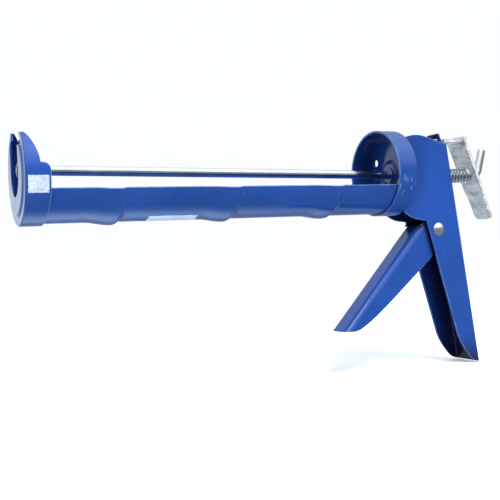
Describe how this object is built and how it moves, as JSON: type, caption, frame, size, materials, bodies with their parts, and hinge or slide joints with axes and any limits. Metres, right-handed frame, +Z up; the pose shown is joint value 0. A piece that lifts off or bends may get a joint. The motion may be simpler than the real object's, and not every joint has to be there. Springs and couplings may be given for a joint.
{
  "type": "caulking gun",
  "caption": "Half-barrel caulking gun: pressed steel cradle, smooth push rod with plunger, squeeze trigger and thumb release plate.",
  "frame": {"origin": "barrel axis at the front face of the nozzle yoke, at the middle of the nozzle slot's round end", "axes": "+X along the barrel from the nozzle to the handle, +Z up, handle hanging towards -Z, -Y the tool's left side as seen in the picture"},
  "size_m": [0.3071, 0.053, 0.1491],
  "materials": {
    "blue_paint": "gloss enamel",
    "bright_steel": "bright zinc, drawn rod",
    "galvanised": "galvanised, slightly mottled",
    "spring_steel": "zinc-plated wire",
    "plain_steel": "hardened, oiled",
    "label": "blank silvery film"
  },
  "bodies": {
    "frame": {"barrel_trough": "blue_paint", "front_cap": "blue_paint", "rear_cup": "blue_paint", "rod_guide_bush": "blue_paint", "handle_frame": "blue_paint", "cup_rivets": "blue_paint", "trigger_rivet": "bright_steel", "pivot_washers": "galvanised", "drive_spring": "spring_steel", "drive_spring_seat": "galvanised", "release_spring": "spring_steel", "release_spring_seat": "galvanised", "collar_label": "label", "trough_label": "label"},
    "trigger": {"trigger": "blue_paint", "pivot_sleeve": "plain_steel", "drive_pin": "bright_steel"},
    "rod": {"push_rod": "bright_steel", "plunger_disc": "blue_paint", "plunger_washer": "galvanised", "plunger_nut": "plain_steel"},
    "drive_plate": {"drive_plate": "plain_steel"},
    "release_plate": {"release_plate": "galvanised"}
  },
  "joints": [
    {"name": "trigger_pivot", "type": "hinge", "parent": "frame", "child": "trigger", "pos_m": [0.2563, 0, -0.0364], "axis": [0, -1, 0], "range_deg": [0, 26], "stiffness_Nm_per_rad": 0.6, "springref_deg": -20.05},
    {"name": "drive_plate_slide", "type": "slide", "parent": "frame", "child": "drive_plate", "axis": [-0.9999, 0, 0.014], "range_m": [0, 0.011], "deforming": ["drive_spring"]},
    {"name": "rod_slide", "type": "slide", "parent": "frame", "child": "rod", "axis": [0.9999, 0, -0.014], "range_m": [0, 0.215]},
    {"name": "release_plate_pivot", "type": "hinge", "parent": "frame", "child": "release_plate", "pos_m": [0.26573, 0, 0.0206], "axis": [0, 1, 0], "range_deg": [0, 5], "stiffness_Nm_per_rad": 0.5, "springref_deg": -11.46, "deforming": ["release_spring"]}
  ],
  "couplings": [
    {"joint": "drive_plate_slide", "follows": "trigger_pivot", "m_per_rad": 0.02365}
  ]
}
